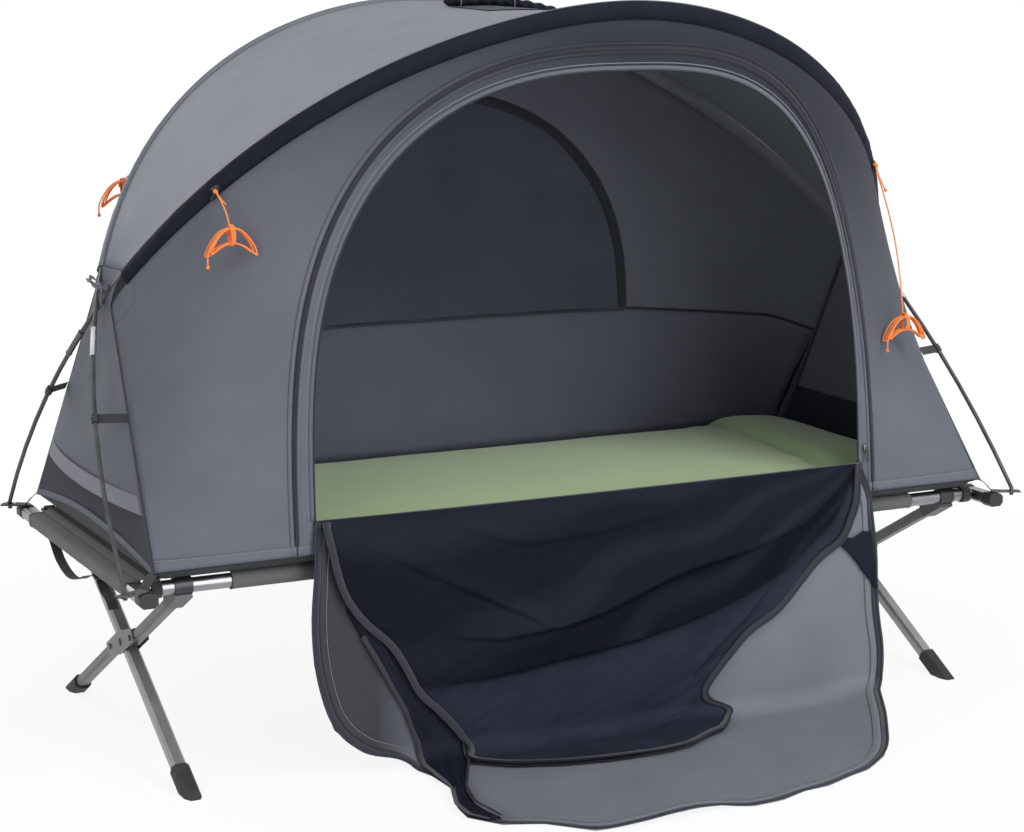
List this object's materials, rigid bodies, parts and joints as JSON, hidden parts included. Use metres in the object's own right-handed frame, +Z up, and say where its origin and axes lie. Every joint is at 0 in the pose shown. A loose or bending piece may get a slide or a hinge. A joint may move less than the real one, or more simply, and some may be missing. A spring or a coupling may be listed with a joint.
{
  "type": "tent cot",
  "caption": "Folding camp bed on crossed legs with a two-pole tent over it, its arched side door unzipped and hanging to the ground over a green mattress and pillow.",
  "frame": {"origin": "on the ground, under the middle of the box round the standing tent cot and its open door", "axes": "+X along the bed towards the pillow, -Y out through the open door, +Z up"},
  "size_m": [2.0302, 1.4006, 1.4632],
  "materials": {
    "tube_aluminium": "satin drawn tube",
    "leg_metal": "grey satin coating",
    "plated_steel": "plated sheet and rivets",
    "black_plastic": "moulded, slight grain",
    "foot_rubber": "matt",
    "pole_fibre": "resin-bound glass fibre rod",
    "roof_cloth": "coated plain weave",
    "wall_cloth": "coated plain weave",
    "dark_cloth": "coated plain weave",
    "bed_cloth": "heavy plain weave",
    "mattress_cloth": "brushed knit over foam",
    "door_cloth": "coated weave with a mesh layer",
    "webbing": "woven tape",
    "orange_cord": "braided cord"
  },
  "bodies": {
    "shelter": {"foot_end_bar": "tube_aluminium", "pillow_end_bar": "tube_aluminium", "foot_end_bar_sleeve": "bed_cloth", "pillow_end_bar_sleeve": "bed_cloth", "bar_cap_foot_end_front": "black_plastic", "bar_cap_foot_end_back": "black_plastic", "bar_cap_pillow_end_front": "black_plastic", "bar_cap_pillow_end_back": "black_plastic", "corner_tab_foot_end_front": "webbing", "corner_tab_foot_end_back": "webbing", "corner_tab_pillow_end_front": "webbing", "corner_tab_pillow_end_back": "webbing", "foot_end_wall": "wall_cloth", "pillow_end_wall": "wall_cloth", "tent_floor": "bed_cloth", "mattress": "mattress_cloth", "front_wall": "wall_cloth", "rear_wall": "wall_cloth", "roof": "roof_cloth", "front_arch_pole": "pole_fibre", "rear_arch_pole": "pole_fibre", "front_pole_sleeve": "dark_cloth", "rear_pole_sleeve": "roof_cloth", "door_drape": "door_cloth", "guyline_front_foot_end": "orange_cord", "guyline_back_foot_end": "orange_cord", "guyline_front_pillow_end": "orange_cord", "guyline_back_pillow_end": "orange_cord"},
    "leg_pivots": {"pivot_rivet_foot_end": "plated_steel", "pivot_rivet_middle": "plated_steel", "pivot_rivet_pillow_end": "plated_steel"},
    "front_frame": {"front_rail": "tube_aluminium", "short_leg_upper_foot_end": "leg_metal", "short_leg_upper_middle": "leg_metal", "short_leg_upper_pillow_end": "leg_metal", "short_leg_lower_foot_end": "leg_metal", "short_leg_lower_middle": "leg_metal", "short_leg_lower_pillow_end": "leg_metal", "crossing_bracket_foot_end": "plated_steel", "crossing_bracket_middle": "plated_steel", "crossing_bracket_pillow_end": "plated_steel", "front_rail_bracket_foot_end": "plated_steel", "front_rail_bracket_middle": "plated_steel", "front_rail_bracket_pillow_end": "plated_steel", "back_foot_foot_end": "foot_rubber", "back_foot_middle": "foot_rubber", "back_foot_pillow_end": "foot_rubber", "bed_cloth": "bed_cloth"},
    "back_frame": {"back_rail": "tube_aluminium", "long_leg_foot_end": "leg_metal", "long_leg_middle": "leg_metal", "long_leg_pillow_end": "leg_metal", "back_rail_bracket_foot_end": "plated_steel", "back_rail_bracket_middle": "plated_steel", "back_rail_bracket_pillow_end": "plated_steel", "front_foot_foot_end": "foot_rubber", "front_foot_middle": "foot_rubber", "front_foot_pillow_end": "foot_rubber"},
    "zip_slider": {"zip_slider": "black_plastic"}
  },
  "joints": [
    {"name": "crossing_drop", "type": "slide", "parent": "shelter", "child": "leg_pivots", "axis": [0, 0, -1], "range_m": [0, 0.306], "deforming": ["bed_cloth"]},
    {"name": "leg_fold", "type": "hinge", "parent": "leg_pivots", "child": "front_frame", "pos_m": [0, 0.18509, 0.205], "axis": [-1, 0, 0], "range_deg": [0, 50], "deforming": ["bed_cloth"]},
    {"name": "back_fold", "type": "hinge", "parent": "front_frame", "child": "back_frame", "pos_m": [0, 0.18509, 0.205], "axis": [1, 0, 0], "range_deg": [0, 100.5], "deforming": ["bed_cloth"]},
    {"name": "zip_slide", "type": "slide", "parent": "shelter", "child": "zip_slider", "axis": [-0.0566, 0.0618, 0.9965], "range_m": [0, 0.15]}
  ],
  "couplings": [
    {"joint": "back_fold", "follows": "leg_fold", "ratio": 2},
    {"joint": "crossing_drop", "follows": "leg_fold", "m_per_rad": 0.35}
  ]
}
